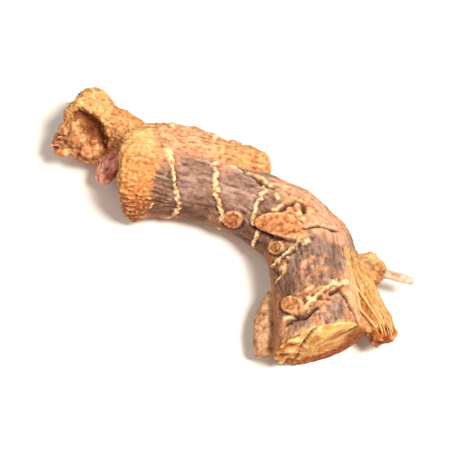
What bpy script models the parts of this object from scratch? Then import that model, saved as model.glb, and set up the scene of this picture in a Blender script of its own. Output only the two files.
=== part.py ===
"""A dried galangal rhizome, as cut and picked: one grown piece, lying on a level surface.

It is a curved main finger with leaf-scale rings, a second finger fused along its back, a hollow
stem base at one end, a knife cut at the other, and what is left of its roots and of one shoot.
Metres, +Z up, the long way along X, the origin under the middle of the box.
"""
import math
from collections import namedtuple

import bmesh
import bpy
from mathutils import Matrix, Vector, noise

MM = 0.001

# A section of a finger: its centre, and its half width across and upwards
Station = namedtuple("Station", "x y z across up")
# A leaf scale's scar: its place along the finger, how far it leans and how high it stands.
# It leans onwards at the angle round the finger called towards, in degrees.
Ring = namedtuple("Ring", "along lean towards height")
# A root's scar: its place along its finger and round it (degrees), its half sizes along and
# round, its turn on the skin (degrees), and how high it stands
Scar = namedtuple("Scar", "along round long wide turn height")
# A lump on the stem base: its place and half sizes across the mouth, along it and out of it
Lump = namedtuple("Lump", "across along out half_across half_along half_out")

# All lengths below are in mm, and all angles in degrees
MAIN_FINGER = [
    Station(-21.6, -6.0, 8.3, 7.8, 8.2),
    Station(-18.9, -3.9, 8.4, 8.7, 8.8),
    Station(-16.0, -1.8, 7.9, 7.8, 8.0),
    Station(-12.0, 0.4, 7.0, 6.5, 6.5),
    Station(-5.0, 3.9, 6.8, 6.1, 6.2),
    Station(2.1, 6.4, 6.6, 6.6, 6.8),
    Station(10.1, 7.2, 7.4, 7.4, 7.2),
    Station(16.7, 5.1, 7.9, 8.2, 7.4),
    Station(21.4, 1.4, 8.0, 8.3, 7.6),
    Station(25.8, -3.3, 7.8, 8.2, 7.8),
    Station(30.4, -7.7, 7.6, 8.4, 8.0),
    Station(34.8, -11.0, 7.6, 8.3, 8.0),
]
MAIN_RINGS = [
    Ring(8.2, 4.0, 180, 0.45),
    Ring(18.7, 3.0, 180, 0.45),
    Ring(27.4, 5.0, 180, 0.35),
    Ring(41.5, 2.4, 180, 0.35),
    Ring(53.6, 5.0, 180, 0.6),
]
MAIN_SCARS = [
    Scar(36.4, 119, 6.2, 2.2, 22, 0.35),
    Scar(24.5, 153, 2.6, 1.7, 23, 0.35),
    Scar(40.4, 142, 2.3, 1.4, 31, 0.55),
    Scar(55.4, 127, 2.5, 1.5, 63, 0.4),
    Scar(14.5, 255, 1.6, 1.4, 0, 0.4),
    Scar(24.5, 285, 2.0, 1.5, 15, 0.4),
    Scar(36.0, 235, 1.6, 1.5, 0, 0.4),
    Scar(44.5, 320, 2.0, 1.4, -20, 0.4),
    Scar(58.0, 230, 1.5, 1.5, 0, 0.4),
]
BACK_FINGER = [
    Station(-22.4, -1.3, 9.0, 5.4, 5.4),
    Station(-19.2, 1.7, 9.0, 5.4, 5.4),
    Station(-15.3, 5.4, 8.5, 4.9, 4.9),
    Station(-10.6, 8.3, 8.0, 4.2, 4.3),
    Station(-6.3, 10.6, 7.5, 3.9, 4.2),
    Station(-0.9, 13.3, 7.5, 3.6, 3.6),
]
BACK_RINGS = [Ring(7.5, 0.8, 200, 0.3), Ring(15.0, 0.8, 200, 0.3)]
BACK_SCARS = [Scar(11.0, 330, 1.6, 1.3, 10, 0.4), Scar(18.0, 10, 1.2, 1.0, 0, 0.35)]
NECK = [
    Station(-17.5, -0.5, 9.0, 4.6, 4.7),
    Station(-25.7, 0.2, 9.0, 3.6, 4.2),
    Station(-32.4, -0.5, 8.6, 4.0, 4.4),
]
BUD = [
    Station(-26.9, -0.3, 6.4, 2.6, 2.4),
    Station(-25.5, -5.5, 5.4, 2.1, 2.0),
    Station(-24.3, -9.1, 4.8, 1.5, 1.5),
]
ROOT_STUB = [
    Station(19.3, -4.5, 6.4, 2.8, 2.8),
    Station(17.9, -6.6, 5.6, 2.5, 2.5),
    Station(19.7, -10.5, 5.0, 2.4, 2.3),
    Station(23.5, -14.6, 4.2, 1.9, 1.9),
]
SHOOT_BASE = [
    Station(19.7, 7.9, 10.2, 2.0, 1.6),
    Station(25.7, 6.2, 10.0, 2.9, 2.6),
    Station(31.7, 3.7, 8.5, 3.0, 2.6),
    Station(36.1, 2.3, 7.2, 2.8, 2.2),
    Station(38.5, 1.2, 6.2, 2.0, 1.6),
]
ROOT_TAIL = [
    Station(24.5, 9.2, 8.0, 1.4, 1.4),
    Station(28.8, 11.4, 8.0, 0.95, 0.95),
    Station(31.4, 12.9, 7.5, 0.75, 0.75),
    Station(34.0, 14.3, 7.0, 0.6, 0.6),
]

# The knife cut's plane, and the way it faces
CUT_AT = (29.7, -8.4, 8.0)
CUT_FACES = (0.86, -0.5, -0.07)

# The stem base is a hollow knob. Its mouth faces the front and up, turned and raised by these angles.
KNOB_AT = (-32.9, -2.5, 8.0)
MOUTH_TURN = 43
MOUTH_RISE = 60
KNOB = Lump(0, 0, 0, 5.6, 7.0, 6.6)
# The hollow is a slot across the knob, slanted in its mouth
HOLLOW = Lump(0.3, -1.2, 5.4, 5.4, 2.6, 4.2)
HOLLOW_SLANT = -58
PEAK = Lump(0.6, 5.0, 0.0, 2.6, 2.4, 2.9)
LOBE = Lump(-5.5, -3.0, 0.2, 2.4, 2.2, 2.6)
FIBRE_ENDS = [
    Lump(-2.5, 0.0, 2.8, 1.3, 1.3, 2.2),
    Lump(-3.0, -2.2, 3.2, 1.4, 1.4, 2.4),
    Lump(-1.1, -2.7, 3.2, 1.5, 1.5, 2.5),
    Lump(0.0, -4.6, 2.8, 1.7, 1.7, 2.9),
]

# The side shoot's fibres lie on its base, from the first angle round it to the last
FIBRES = 5
FIBRE_RADIUS = 0.45
FIBRE_ANGLES = (25, 150)

# The root's swelling, before its tail
SWELLING_AT = (26.3, 9.9, 8.0)
SWELLING_SIZES = (3.4, 3.2, 3.7)

# The skin is corky over this length of the finger's stem end
CORKY = 7.0
# A ring's ridge is this wide to each side, and a scar is sunk this deep in the skin
RIDGE = 0.9
SUNK = 1.2
# The last section of a rounded end stops this short of its point
TIP = 0.02


class Finger:
    """A swept body through its stations, read by the distance along it (mm) and the angle round it."""

    SAMPLES = 400

    def __init__(self, stations, rings=(), start=0.0, end=0.0):
        self.stations = stations
        self.rings = rings
        self.start = start
        self.end = end
        self.curve = [self.spline(i / self.SAMPLES) for i in range(self.SAMPLES + 1)]
        self.reach = [0.0]
        for a, b in zip(self.curve, self.curve[1:]):
            self.reach.append(self.reach[-1] + (Vector(b[:3]) - Vector(a[:3])).length)
        self.length = self.reach[-1]

    def spline(self, t):
        """The Catmull-Rom curve through the stations, at t from 0 to 1."""
        last = len(self.stations) - 1
        i = min(int(t * last), last - 1)
        u = t * last - i
        near = [self.stations[min(max(i + k, 0), last)] for k in (-1, 0, 1, 2)]
        weights = (
            -u + 2 * u**2 - u**3,
            2 - 5 * u**2 + 3 * u**3,
            u + 4 * u**2 - 3 * u**3,
            -(u**2) + u**3,
        )
        return [0.5 * sum(w * value for w, value in zip(weights, values)) for values in zip(*near)]

    def section(self, along):
        """The centre there, the two directions round it, and the half width in each."""
        along = min(max(along, 0.0), self.length)
        i = next((k for k in range(1, len(self.reach)) if self.reach[k] >= along), self.SAMPLES)
        a, b = self.curve[i - 1], self.curve[i]
        share = (along - self.reach[i - 1]) / (self.reach[i] - self.reach[i - 1])
        x, y, z, across, up = (p + (q - p) * share for p, q in zip(a, b))
        tangent = (Vector(b[:3]) - Vector(a[:3])).normalized()
        side = Vector((0, 0, 1)).cross(tangent).normalized()
        taper = self.taper(along)
        return Vector((x, y, z)), side, tangent.cross(side), across * taper, up * taper

    def taper(self, along):
        """Rounds the ends off as an ellipse does, over the lengths called start and end."""
        near_start = min(along / self.start, 1.0) if self.start else 1.0
        near_end = min((self.length - along) / self.end, 1.0) if self.end else 1.0
        return math.sqrt(1 - (1 - near_start) ** 2) * math.sqrt(1 - (1 - near_end) ** 2)

    def ring_shift(self, ring, angle):
        """How far onwards the ring lies at this angle: it leans and wavers."""
        waver = 0.35 * math.sin(5 * angle + ring.along) + 0.25 * math.sin(9 * angle + 2 * ring.along)
        return ring.lean * math.cos(angle - math.radians(ring.towards)) + waver

    def shift(self, along, angle):
        """How far the sections between two rings lean with them."""
        at_rings = [(ring.along, self.ring_shift(ring, angle)) for ring in self.rings]
        known = [(0.0, 0.0), *at_rings, (self.length, 0.0)]
        for (a, shift_a), (b, shift_b) in zip(known, known[1:]):
            if along <= b:
                return shift_a + (shift_b - shift_a) * (along - a) / (b - a)
        return 0.0

    def skin(self, along, angle, relief=0.0):
        """The point of its surface there, raised by the relief, in mm."""
        centre, side, upwards, across, up = self.section(along)
        out = side * math.cos(angle) + upwards * math.sin(angle)
        return centre + side * (across * math.cos(angle)) + upwards * (up * math.sin(angle)) + out * relief


def uneven(along, angle, around, onwards, seed):
    """Noise on a finger's skin, with so many features around it and so many in a mm onwards."""
    radius = around / (2 * math.pi)
    return noise.noise(Vector((radius * math.cos(angle), radius * math.sin(angle), along * onwards + seed)))


def dried_skin(finger, seed, wrinkle, rough):
    """The relief of a shrunken skin: wrinkles that run lengthwise, soft lumps, and the rings' ridges."""
    def relief(along, angle):
        high = wrinkle * uneven(along, angle, 22, 0.16, seed)
        high += rough(along) * uneven(along, angle, 9, 0.35, seed + 7)
        for ring in finger.rings:
            crest = max(0.0, 1 - abs(along - ring.along) / RIDGE)
            high += ring.height * crest * (1 + 0.7 * uneven(ring.along, angle, 24, 0, seed + 3))
        return high
    return relief


def mouth_frame():
    """The frame of the stem base's mouth: across it, along it and out of it."""
    turned = Matrix.Rotation(math.radians(MOUTH_TURN), 3, "Z")
    return turned @ Matrix.Rotation(math.radians(90 - MOUTH_RISE), 3, "X")


def finish(bm, name):
    """Turns a mesh in mm into an object in metres."""
    bmesh.ops.scale(bm, vec=(MM, MM, MM), verts=bm.verts)
    bmesh.ops.recalc_face_normals(bm, faces=bm.faces)
    mesh = bpy.data.meshes.new(name)
    bm.to_mesh(mesh)
    bm.free()
    obj = bpy.data.objects.new(name, mesh)
    bpy.context.scene.collection.objects.link(obj)
    return obj


def swept(name, finger, step, sides, relief=lambda along, angle: 0.0):
    """A closed mesh of the finger: a grid rolled round it, its sections closer at rings and ends."""
    places = {TIP, finger.length - TIP}
    places.update(k * step for k in range(1, int(finger.length / step)))
    places.update(r.along + k for r in finger.rings for k in (-RIDGE, 0.0, RIDGE))
    places.update(finger.start * k for k in (0.12, 0.4) if finger.start)
    places.update(finger.length - finger.end * k for k in (0.12, 0.4) if finger.end)
    kept = []
    for place in sorted(places):
        at_ring = any(abs(place - r.along) < 1.1 * RIDGE for r in finger.rings)
        gap = 0.2 if at_ring else 0.3 * step
        if not kept or place - kept[-1] > gap:
            kept.append(place)
    bm = bmesh.new()
    bmesh.ops.create_grid(bm, x_segments=len(kept) - 1, y_segments=sides, size=0.5)
    for v in bm.verts:
        along = kept[round((v.co.x + 0.5) * (len(kept) - 1))]
        angle = (v.co.y + 0.5) * 2 * math.pi
        v.co = finger.skin(along + finger.shift(along, angle), angle, relief(along, angle))
    bmesh.ops.remove_doubles(bm, verts=bm.verts, dist=1e-5)
    bmesh.ops.holes_fill(bm, edges=bm.edges)
    return finish(bm, name)


def ball(name, centre, half_sizes, frame, rough, detail=3):
    """A closed uneven ball, its half sizes along the frame's directions."""
    bm = bmesh.new()
    bmesh.ops.create_icosphere(bm, subdivisions=detail, radius=1.0)
    for v in bm.verts:
        grown = 1 + rough * noise.noise(v.co * 2.3 + Vector(centre))
        v.co = Vector(a * b for a, b in zip(v.co * grown, half_sizes))
    bmesh.ops.transform(bm, matrix=Matrix.Translation(centre) @ frame.to_4x4(), verts=bm.verts)
    return finish(bm, name)


def lump(name, place, rough, slant=0.0, detail=3):
    """An uneven ball in the frame of the stem base's mouth, turned in it by the slant."""
    centre = Vector(KNOB_AT) + MOUTH @ Vector(place[:3])
    frame = MOUTH @ Matrix.Rotation(math.radians(slant), 3, "Z")
    return ball(name, centre, place[3:], frame, rough, detail)


def root_scar(name, finger, scar):
    """The scar of a shed root: a short raised disc, sunk in the skin, with a dished top."""
    angle = math.radians(scar.round)
    centre, side, upwards, across, up = finger.section(scar.along)
    onwards = side.cross(upwards)
    out = (side * math.cos(angle) / across + upwards * math.sin(angle) / up).normalized()
    beside = out.cross(onwards)
    frame = Matrix((onwards, beside, out)).transposed() @ Matrix.Rotation(math.radians(scar.turn), 3, "Z")
    bm = bmesh.new()
    bmesh.ops.create_cone(bm, cap_ends=True, segments=18, radius1=1.15, radius2=0.9, depth=1.0)
    bmesh.ops.scale(bm, vec=(scar.long, scar.wide, scar.height + SUNK), verts=bm.verts)
    top = max(bm.faces, key=lambda f: f.calc_center_median().z)
    bmesh.ops.inset_region(bm, faces=[top], thickness=0.3 * scar.wide)
    bmesh.ops.translate(bm, vec=(0, 0, -0.6 * scar.height), verts=top.verts)
    at = finger.skin(scar.along, angle, 0.5 * (scar.height - SUNK))
    bmesh.ops.transform(bm, matrix=Matrix.Translation(at) @ frame.to_4x4(), verts=bm.verts)
    return finish(bm, name)


def cut_flat(obj, at, faces):
    """Cuts off what lies beyond the plane, and closes the cut."""
    bm = bmesh.new()
    bm.from_mesh(obj.data)
    geometry = bm.verts[:] + bm.edges[:] + bm.faces[:]
    bmesh.ops.bisect_plane(bm, geom=geometry, plane_co=Vector(at) * MM, plane_no=faces, clear_outer=True)
    bmesh.ops.holes_fill(bm, edges=bm.edges)
    bmesh.ops.recalc_face_normals(bm, faces=bm.faces)
    bm.to_mesh(obj.data)
    bm.free()


def boolean(obj, operation, other=None, collection=None):
    """Applies an exact Boolean with an object, or with all of a collection."""
    modifier = obj.modifiers.new(operation, "BOOLEAN")
    modifier.operation = operation
    modifier.solver = "EXACT"
    if collection:
        modifier.operand_type = "COLLECTION"
        modifier.collection = collection
    else:
        modifier.object = other
    with bpy.context.temp_override(object=obj):
        bpy.ops.object.modifier_apply(modifier=modifier.name)


MOUTH = mouth_frame()

for old in list(bpy.data.objects):
    bpy.data.objects.remove(old)

main = Finger(MAIN_FINGER, MAIN_RINGS, start=1.5)
back = Finger(BACK_FINGER, BACK_RINGS, start=2.4, end=2.6)
neck = Finger(NECK)
bud = Finger(BUD, end=1.5)
stub = Finger(ROOT_STUB, end=0.8)
shoot = Finger(SHOOT_BASE, end=1.0)
tail = Finger(ROOT_TAIL, end=0.4)

main_skin = dried_skin(main, 0, 0.9, lambda along: 1.5 if along < CORKY else 0.9)
rhizome = swept("rhizome", main, 1.8, 48, main_skin)
cut_flat(rhizome, CUT_AT, CUT_FACES)

# The stem base with its neck, its hollow, and what is left of the stem in it
knob = lump("knob", KNOB, 0.13, detail=4)
joined = swept("neck", neck, 1.8, 26, dried_skin(neck, 40, 0.7, lambda along: 0.9))
boolean(knob, "UNION", joined)
hollow = lump("hollow", HOLLOW, 0.1, HOLLOW_SLANT)
boolean(knob, "DIFFERENCE", hollow)
for cutter in (joined, hollow):
    bpy.data.objects.remove(cutter)
lump("peak", PEAK, 0.1)
lump("lobe", LOBE, 0.1)
for place in FIBRE_ENDS:
    lump("stem fibre end", place, 0.25, detail=2)

swept("back", back, 1.6, 28, dried_skin(back, 20, 0.7, lambda along: 0.8))
swept("bud", bud, 1.2, 14)
swept("stub", stub, 1.3, 18, dried_skin(stub, 60, 0.3, lambda along: 0.3))
ball("swelling", SWELLING_AT, SWELLING_SIZES, MOUTH, 0.2)
swept("tail", tail, 1.5, 10)

# The shoot's base, and its fibres, which fan out past its end
swept("shoot", shoot, 1.4, 20, dried_skin(shoot, 81, 0.25, lambda along: 0.3))
for i in range(FIBRES):
    first, last = (math.radians(a) for a in FIBRE_ANGLES)
    angle = first + (last - first) * i / (FIBRES - 1)
    reach = shoot.length * (0.97 + 0.03 * math.sin(2.4 * i))
    points = [shoot.skin(reach * (0.08 + 0.23 * k), angle, 0.06 * k) for k in range(5)]
    fibre = Finger([Station(*point, FIBRE_RADIUS, FIBRE_RADIUS) for point in points])
    swept("fibre", fibre, 1.9, 8)

for finger, scars in ((main, MAIN_SCARS), (back, BACK_SCARS)):
    for scar in scars:
        root_scar("scar", finger, scar)

# All of it is one grown body
grown = bpy.data.collections.new("grown on")
for obj in list(bpy.data.objects):
    if obj is not rhizome:
        grown.objects.link(obj)
boolean(rhizome, "UNION", collection=grown)
for obj in list(grown.objects):
    bpy.data.objects.remove(obj)
bpy.data.collections.remove(grown)

# It has small worn flats where it rests
cut_flat(rhizome, (0, 0, 0), (0, 0, -1))

skin = bpy.data.materials.new("dried rhizome skin")
skin.use_nodes = True
shader = skin.node_tree.nodes["Principled BSDF"]
shader.inputs["Base Color"].default_value = (0.47, 0.25, 0.12, 1)
shader.inputs["Roughness"].default_value = 0.8
rhizome.data.materials.append(skin)
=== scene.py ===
"""A dried galangal rhizome on a pale surface, in soft light from the upper right.

The body is swept, joined and remeshed as one skin. Formulas in the distance along each finger and
the angle round it then raise its wrinkles, leaf-scale rings, root scars and cracks, and mark the
skin's colours, with painted shade in its grooves, cracks and hollows and on its side away from the
light, and painted highlights on its ridges and tops. Lengths are in mm until a mesh is finished, and
angles are in degrees.
"""
import math
from collections import defaultdict, namedtuple

import bmesh
import bpy
import numpy as np
from mathutils import Matrix, Vector, kdtree, noise


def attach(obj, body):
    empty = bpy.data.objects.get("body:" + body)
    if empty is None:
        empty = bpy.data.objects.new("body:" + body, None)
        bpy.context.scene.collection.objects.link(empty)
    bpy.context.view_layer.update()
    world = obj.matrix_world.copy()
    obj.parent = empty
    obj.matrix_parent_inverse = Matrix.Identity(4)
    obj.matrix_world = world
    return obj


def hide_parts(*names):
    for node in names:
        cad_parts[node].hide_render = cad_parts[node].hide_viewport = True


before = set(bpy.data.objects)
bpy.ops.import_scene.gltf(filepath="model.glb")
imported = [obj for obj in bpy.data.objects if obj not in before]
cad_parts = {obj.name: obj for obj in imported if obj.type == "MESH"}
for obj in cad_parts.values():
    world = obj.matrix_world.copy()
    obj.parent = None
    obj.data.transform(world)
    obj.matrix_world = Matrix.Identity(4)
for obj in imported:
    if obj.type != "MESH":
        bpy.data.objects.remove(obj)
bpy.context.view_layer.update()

MM = 0.001

# The shape, as in the solid

# A section of a finger: its centre, and its half width across and upwards
Station = namedtuple("Station", "x y z across up")
# A leaf scale's scar: its height, how far the skin drops after it, the angles between which it shows
# plainly, and how far along the finger it is at angles round it
Ring = namedtuple("Ring", "height drop first last path")
# A root's scar: its place along its finger and round it, its half sizes along and round, its turn
# on the skin, how high it stands, and how orange it is
Scar = namedtuple("Scar", "along round long wide turn height tint")
# A narrow ridge or crack: its half width, its height or depth, and its points along and round
Line = namedtuple("Line", "width height points")
# A purplish stain: its place along and round, its half sizes, and how grey it is
Stain = namedtuple("Stain", "along round long wide grey")
# A soft patch: its place along and round, its half length in mm and its half width in degrees
Patch = namedtuple("Patch", "along round long wide")
# A long fibre of the side shoot: its half width, its tone, its lift, and its points along and round
Fibre = namedtuple("Fibre", "radius tone lift points")
# A lump on the stem base: its place and half sizes across the mouth, along it and out of it
Lump = namedtuple("Lump", "across along out half_across half_along half_out")

MAIN_FINGER = [
    Station(-21.6, -6.0, 8.3, 7.8, 8.2),
    Station(-18.9, -3.9, 8.4, 8.7, 8.8),
    Station(-16.0, -1.8, 7.9, 7.8, 8.0),
    Station(-12.0, 0.4, 7.0, 6.5, 6.5),
    Station(-5.0, 3.9, 6.8, 6.1, 6.2),
    Station(2.1, 6.4, 6.6, 6.6, 6.8),
    Station(10.1, 7.2, 7.4, 7.4, 7.2),
    Station(16.7, 5.1, 7.9, 8.2, 7.4),
    Station(21.4, 1.4, 8.0, 8.3, 7.6),
    Station(25.8, -3.3, 7.8, 8.2, 7.8),
    Station(30.4, -7.7, 7.6, 8.4, 8.0),
    Station(34.8, -11.0, 7.6, 8.3, 8.0),
]
BACK_FINGER = [
    Station(-22.4, -1.3, 9.0, 5.4, 5.4),
    Station(-19.2, 1.7, 9.0, 5.4, 5.4),
    Station(-15.3, 5.4, 8.5, 4.9, 4.9),
    Station(-10.6, 8.3, 8.0, 4.2, 4.3),
    Station(-6.3, 10.6, 7.5, 3.9, 4.2),
    Station(-0.9, 13.3, 7.5, 3.6, 3.6),
]
NECK = [
    Station(-17.5, -0.5, 9.0, 4.6, 4.7),
    Station(-25.7, 0.2, 9.0, 3.6, 4.2),
    Station(-32.4, -0.5, 8.6, 4.0, 4.4),
]
BUD = [
    Station(-26.9, -0.3, 6.4, 2.6, 2.4),
    Station(-25.5, -5.5, 5.4, 2.1, 2.0),
    Station(-24.3, -9.1, 4.8, 1.5, 1.5),
]
ROOT_STUB = [
    Station(19.3, -4.5, 6.4, 2.8, 2.8),
    Station(17.9, -6.6, 5.6, 2.5, 2.5),
    Station(19.7, -10.5, 5.0, 2.4, 2.3),
    Station(23.5, -14.6, 4.2, 1.9, 1.9),
]
SHOOT_BASE = [
    Station(19.7, 7.9, 10.2, 2.0, 1.6),
    Station(25.7, 6.2, 10.0, 2.9, 2.6),
    Station(31.7, 3.7, 8.5, 3.0, 2.6),
    Station(36.1, 2.3, 7.2, 2.8, 2.2),
    Station(38.5, 1.2, 6.2, 2.0, 1.6),
]
ROOT_TAIL = [
    Station(24.5, 9.2, 8.0, 1.4, 1.4),
    Station(28.8, 11.4, 8.0, 0.95, 0.95),
    Station(31.4, 12.9, 7.5, 0.85, 0.85),
    Station(34.0, 14.3, 7.0, 0.7, 0.7),
]

MAIN_RINGS = [
    Ring(
        *(0.45, 0.15, 74, 185),
        [(0, 4.2), (40, 5.1), (75, 7.2), (99, 8.3), (126, 10.7), (150, 12.6), (178, 12.5), (300, 6.2)],
    ),
    Ring(
        *(0.45, 0.15, 45, 165),
        [(0, 15.7), (51, 18.0), (72, 17.5), (99, 18.8), (130, 19.9), (156, 21.8), (200, 21.5)],
    ),
    Ring(
        *(0.4, 0.1, 72, 180),
        [(0, 22.4), (72, 27.4), (87, 28.8), (120, 28.7), (145, 29.9), (152, 31.7), (204, 30.8)],
    ),
    Ring(
        *(0.4, 0.15, 103, 158),
        [(0, 39.1), (105, 43.4), (111, 42.4), (115, 43.9), (130, 44.3), (156, 45.0), (200, 43.8)],
    ),
    Ring(
        *(0.3, 0.4, 55, 135),
        [(0, 49.0), (60, 51.0), (78, 52.3), (90, 54.2), (99, 55.6), (114, 57.2), (150, 57.6)],
    ),
]
MAIN_SCARS = [
    Scar(36.4, 119, 6.5, 2.2, -22, 0.4, 1.0),
    Scar(24.5, 153, 2.7, 1.8, -23, 0.4, 0.9),
    Scar(40.4, 142, 2.4, 1.4, -31, 0.5, 0.0),
    Scar(55.4, 127, 2.6, 1.5, -63, 0.35, 0.7),
    Scar(14.5, 255, 1.6, 1.4, 0, 0.4, 0.6),
    Scar(24.5, 285, 2.0, 1.5, 15, 0.4, 0.9),
    Scar(36.0, 235, 1.6, 1.5, 0, 0.4, 0.3),
    Scar(44.5, 320, 2.0, 1.4, -20, 0.4, 0.8),
    Scar(58.0, 230, 1.5, 1.5, 0, 0.4, 0.5),
]
MAIN_RIDGES = [
    Line(0.4, 0.35, [(31.2, 84), (33.2, 93), (33.6, 102), (32.8, 108)]),
    Line(0.7, 0.4, [(19.2, 53), (22.5, 58), (25.2, 58), (28.2, 71), (30.2, 66), (32.2, 60)]),
    Line(0.4, 0.3, [(35.2, 103), (38.2, 96), (38.5, 87)]),
    Line(0.35, 0.35, [(45.5, 129), (48.2, 135), (45.0, 146)]),
    Line(0.35, 0.35, [(48.2, 135), (48.9, 147), (49.3, 157)]),
    Line(0.3, 0.3, [(5.8, 153), (7.2, 162), (6.8, 174)]),
    Line(0.7, 0.2, [(7.2, 76), (8.0, 92)]),
]
MAIN_CRACKS = [
    Line(0.45, 0.9, [(30.6, 148), (33.5, 146), (37.0, 142), (39.5, 133)]),
    Line(0.35, 0.9, [(33.8, 102), (34.5, 87), (34.8, 78), (35.8, 72), (37.2, 81)]),
    Line(0.3, 0.7, [(24.0, 64), (27.0, 76), (30.0, 75)]),
    Line(0.3, 0.6, [(40.5, 96), (40.8, 78), (41.8, 66), (42.2, 51)]),
    Line(0.35, 0.9, [(58.6, 140), (58.0, 123), (58.3, 108), (57.4, 99), (56.9, 93)]),
    Line(0.45, 0.9, [(53.8, 74), (52.4, 60), (56.0, 43), (60.0, 28)]),
    Line(0.3, 0.6, [(44.9, 138), (45.0, 128), (44.6, 120), (43.4, 112)]),
    *[Line(0.14, 0.22, [(6.2, place), (10.6, place + 2)]) for place in range(116, 168, 7)],
]
STAINS = [
    Stain(9.0, 148, 3.6, 6.6, 1.0),
    Stain(14.4, 130, 5.4, 9.5, 0.35),
    Stain(16.0, 160, 3.4, 3.6, 0.9),
    Stain(24.0, 116, 5.6, 8.2, 0.2),
    Stain(31.1, 98, 2.2, 2.2, 0.5),
    Stain(30.5, 160, 8.8, 5.0, 0.8),
    Stain(47.6, 112, 6.6, 7.8, 0.9),
    Stain(47.0, 70, 3.2, 2.8, 0.1),
    Stain(56.0, 112, 4.0, 4.5, 0.8),
    Stain(56.2, 78, 3.8, 3.2, 0.3),
    Stain(12.0, 320, 6.0, 5.0, 0.4),
    Stain(24.0, 20, 5.0, 4.0, 0.2),
    Stain(33.0, 300, 6.0, 6.0, 0.5),
    Stain(46.0, 10, 6.0, 5.0, 0.5),
    Stain(50.0, 250, 6.0, 6.0, 0.8),
]
# Crumbly crusts where leaf scales have left their edges
CRUSTS = [Patch(36.0, 82, 3.6, 27), Patch(46.5, 140, 3.0, 14), Patch(54.6, 98, 2.8, 34)]
# Orange spots between the stains, a patch of painted shade, and a painted highlight on the top of the cork
# end
SPOTS = [Patch(49.3, 97, 3.8, 25), Patch(58.2, 92, 2.2, 17)]
SHADE = Patch(51.5, 131, 3.4, 13)
CORK_END_HIGHLIGHT = Patch(4.5, 62, 3.5, 30)
BACK_RINGS = [
    Ring(0.25, 0.1, 340, 60, [(20, 6.7), (200, 8.3)]),
    Ring(0.25, 0.1, 340, 60, [(20, 14.2), (200, 15.8)]),
]
BACK_SCARS = [Scar(11.0, 330, 1.6, 1.3, 10, 0.4, 0.7), Scar(18.0, 10, 1.2, 1.0, 0, 0.35, 0.4)]

# The knife cut's plane, and the way it faces
CUT_AT = (29.7, -8.4, 8.0)
CUT_FACES = (0.86, -0.5, -0.07)
# Where its streaks meet, beside and above its middle, and how far beside it the torn part begins
FAN_FOOT = (-0.5, -3.0)
TORN_FROM = -2.8

# The stem base is a hollow knob. Its mouth faces the front and up, turned and raised by these angles.
KNOB_AT = (-32.9, -2.5, 8.0)
MOUTH_TURN = 43
MOUTH_RISE = 60
KNOB = Lump(0, 0, 0, 5.6, 7.0, 6.6)
HOLLOW = Lump(0.3, -1.2, 5.4, 5.4, 2.6, 4.2)
HOLLOW_SLANT = -58
PEAK = Lump(0.6, 5.0, 0.0, 2.6, 2.4, 2.9)
LOBE = Lump(-5.5, -3.0, 0.2, 2.4, 2.2, 2.6)
FIBRE_ENDS = [
    Lump(-2.5, 0.0, 2.8, 1.3, 1.3, 2.2),
    Lump(-3.0, -2.2, 3.2, 1.3, 1.2, 2.2),
    Lump(-1.1, -2.6, 3.4, 1.1, 1.1, 2.4),
    Lump(-0.6, -4.9, 3.0, 1.2, 1.2, 2.6),
    Lump(1.0, -4.4, 3.2, 1.0, 1.3, 2.4),
    Lump(-1.9, -0.4, 3.9, 0.7, 0.8, 1.4),
    Lump(0.6, -3.0, 3.4, 0.8, 0.7, 1.6),
    Lump(-4.6, -0.9, 1.6, 1.9, 1.6, 2.2),
    Lump(-5.5, -2.3, 0.8, 2.3, 0.9, 2.2),
    Lump(-5.7, -3.6, 0.6, 2.4, 0.8, 2.2),
    Lump(-5.0, -4.8, 0.6, 2.2, 0.9, 2.2),
]
# The swelling that the root tail grows from, with a small hole in its top
SWELLING_AT = (26.3, 9.9, 8.0)
SWELLING_SIZES = (3.4, 3.2, 3.7)
SWELLING_HOLE = (26.9, 10.2, 11.4)
HOLE_SIZE = 1.0

# The fibres that stand out on the side shoot, how many finer ones it has, and a hair on the knob
LONG_FIBRES = [
    Fibre(0.3, 1.0, 0.3, [(0.8, 81), (5.5, 135), (8, 141), (10, 132), (12, 129), (14, 120), (17.8, 106)]),
    Fibre(0.26, 0.9, 0.25, [(1.6, 70), (5.0, 112), (7.5, 120), (9.5, 104), (13.5, 92), (17.6, 88)]),
    Fibre(0.2, 0.8, 0.2, [(1.0, 98), (2.6, 128), (4.6, 118), (6.4, 132), (9.0, 150), (12.0, 146)]),
    Fibre(0.18, 0.95, 0.25, [(2.8, 60), (4.0, 88), (3.4, 112), (5.4, 124), (8.0, 128)]),
]
FINE_FIBRES = 26
KNOB_HAIR = [(-36.6, -1.5, 9.8), (-37.6, -2.1, 10.3), (-38.5, -2.7, 10.4), (-39.1, -3.2, 10.1)]

# How far along the main finger its first end is cork
CORKY = 5.5
# The angle round a finger that faces down and away from the eye, and how far each side of it goes
FAR_SIDE = 285
FAR_REACH = 95
# The angles round the main finger where its skin is pinkest, and where the cut's rim isn't raw
PINK_SIDE = 55
CLEAN_RIM = 305
# The angles round the side shoot where its husk gapes, and where it comes to the main finger
HUSK_GAP = 112
SHOOT_INNER = 150
# The way that the lit side faces; the skin turned away from it gets painted shade
LIGHT_SIDE = (0.35, 0.33, 0.87)
# The lowest and highest that the relief may go, in mm, and how far round a point its dips are judged
RELIEF_LOW = -1.5
RELIEF_HIGH = 1.2
DIP_REACH = 2.4

VOXEL = 0.27
DRAW = np.random.default_rng(7)


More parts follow.
